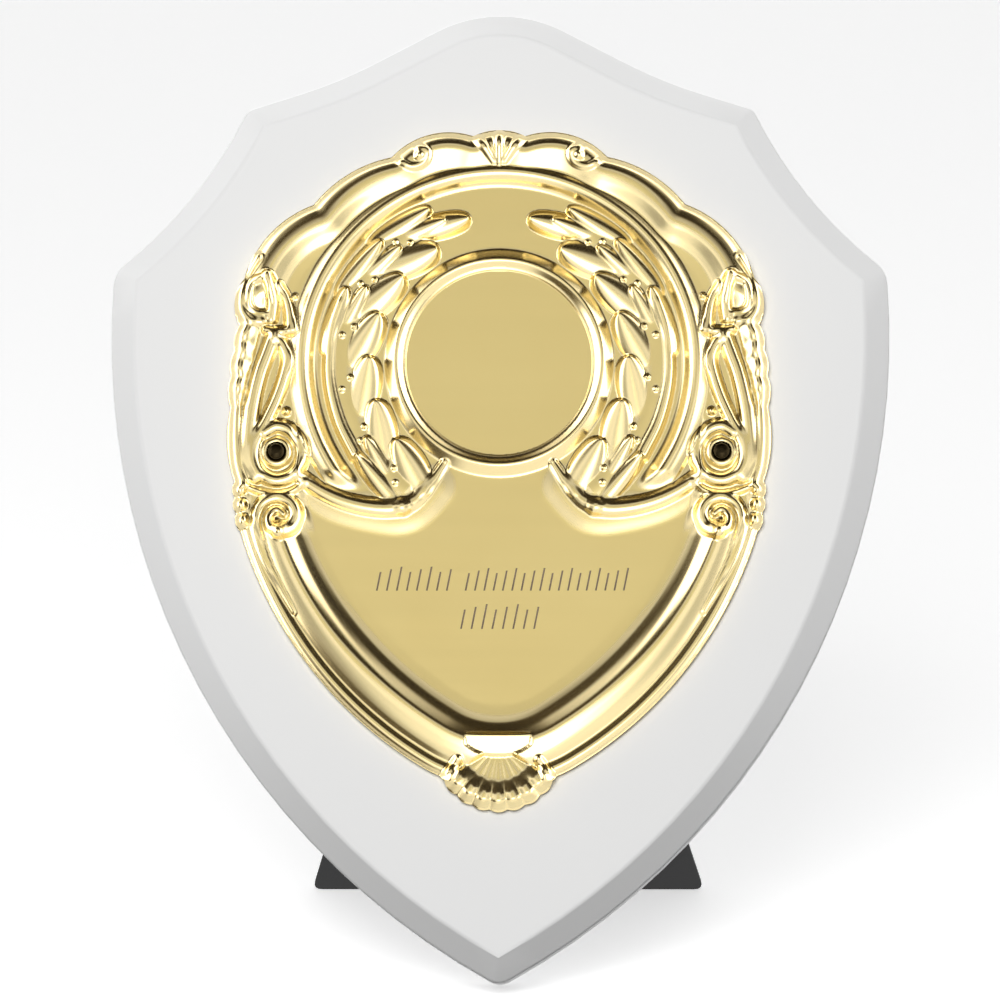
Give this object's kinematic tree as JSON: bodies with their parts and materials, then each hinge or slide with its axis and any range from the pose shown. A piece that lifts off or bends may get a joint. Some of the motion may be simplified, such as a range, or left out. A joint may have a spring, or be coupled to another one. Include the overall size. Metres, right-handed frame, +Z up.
{
  "type": "award shield plaque",
  "caption": "Shield-shaped award plaque: a bevelled board with a pressed ornamental front, wreath, disc recess and engraving field, standing on a rear strut.",
  "frame": {"origin": "on the ground, under the middle of the whole object's bounding box", "axes": "-Y towards the front, +Z up, +X to the right of a viewer who faces the front; the board leans back 18 degrees about X"},
  "size_m": [0.1042, 0.0576, 0.1257],
  "materials": {
    "white_lacquer": "satin white lacquer on fibreboard",
    "gold_front": "bright gold, brushed flats",
    "dark_bronze": "dark patina",
    "black_coated_steel": "satin black coating",
    "zinc_plated_steel": "zinc plated"
  },
  "bodies": {
    "root": {"shield_board": "white_lacquer", "pressed_front": "gold_front", "pin_left": "dark_bronze", "pin_right": "dark_bronze", "strut": "black_coated_steel", "strut_screw_upper": "zinc_plated_steel", "strut_screw_lower": "zinc_plated_steel"}
  },
  "joints": []
}
